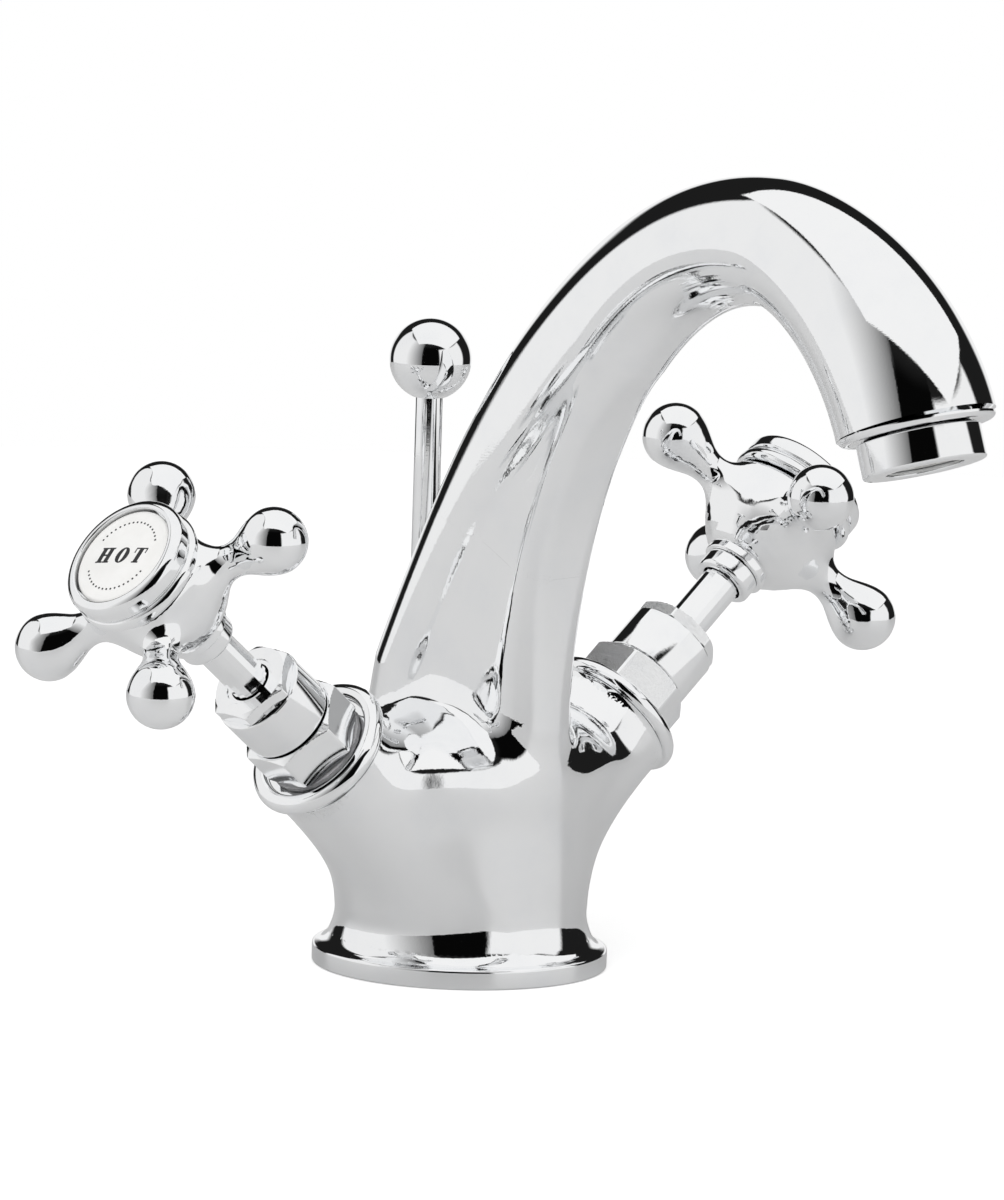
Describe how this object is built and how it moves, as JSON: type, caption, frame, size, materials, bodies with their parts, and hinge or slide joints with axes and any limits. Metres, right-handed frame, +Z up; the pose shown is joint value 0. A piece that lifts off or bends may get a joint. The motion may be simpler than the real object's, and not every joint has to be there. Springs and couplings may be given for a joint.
{
  "type": "bathroom mixer faucet",
  "caption": "Deck-mounted basin mixer with an arched spout, raked cross handles with ceramic indices, an aerator and a lift rod for a pop-up waste.",
  "frame": {"origin": "middle of the foot's underside, on the deck", "axes": "+Z up off the deck, -Y the way the spout points, -X the hot valve and +X the cold valve"},
  "size_m": [0.1867, 0.1563, 0.1537],
  "materials": {
    "chrome": "polished chrome plate on brass",
    "brass": "machined brass",
    "steel": "stainless spring steel",
    "porcelain": "white glazed ceramic with black lettering",
    "alumina": "lapped alumina ceramic",
    "rubber": "black nitrile rubber",
    "fibre": "red fibre washer",
    "acetal": "natural acetal"
  },
  "bodies": {
    "tap": {"tap_body": "chrome", "base_gasket": "rubber", "aerator_housing": "chrome", "aerator_insert": "acetal", "aerator_washer": "rubber", "rod_guide_bush": "acetal", "hot_seat_seal": "rubber", "hot_fixed_disc": "alumina", "hot_bonnet_washer": "fibre", "hot_bonnet": "chrome", "hot_gland_nut": "chrome", "cold_seat_seal": "rubber", "cold_fixed_disc": "alumina", "cold_bonnet_washer": "fibre", "cold_bonnet": "chrome", "cold_gland_nut": "chrome"},
    "lift": {"lift_rod": "chrome", "lift_knob": "chrome", "rod_stop_collar": "steel"},
    "hot_handle": {"hot_moving_disc": "alumina", "hot_spindle": "chrome", "hot_retaining_clip": "steel", "hot_cross_handle": "chrome", "hot_handle_screw": "brass", "hot_index_bezel": "chrome", "hot_index_disc": "porcelain", "hot_spindle_ring_1": "rubber", "hot_spindle_ring_2": "rubber"},
    "cold_handle": {"cold_moving_disc": "alumina", "cold_spindle": "chrome", "cold_retaining_clip": "steel", "cold_cross_handle": "chrome", "cold_handle_screw": "brass", "cold_index_bezel": "chrome", "cold_index_disc": "porcelain", "cold_spindle_ring_1": "rubber", "cold_spindle_ring_2": "rubber"}
  },
  "joints": [
    {"name": "hot_handle_turn", "type": "hinge", "parent": "tap", "child": "hot_handle", "pos_m": [-0.07423, 0, 0.07469], "axis": [-0.7716, 0, 0.6361], "range_deg": [0, 90]},
    {"name": "cold_handle_turn", "type": "hinge", "parent": "tap", "child": "cold_handle", "pos_m": [0.07423, 0, 0.07469], "axis": [-0.7716, 0, -0.6361], "range_deg": [0, 90]},
    {"name": "lift_rod_slide", "type": "slide", "parent": "tap", "child": "lift", "axis": [0, 0, 1], "range_m": [0, 0.02]}
  ]
}
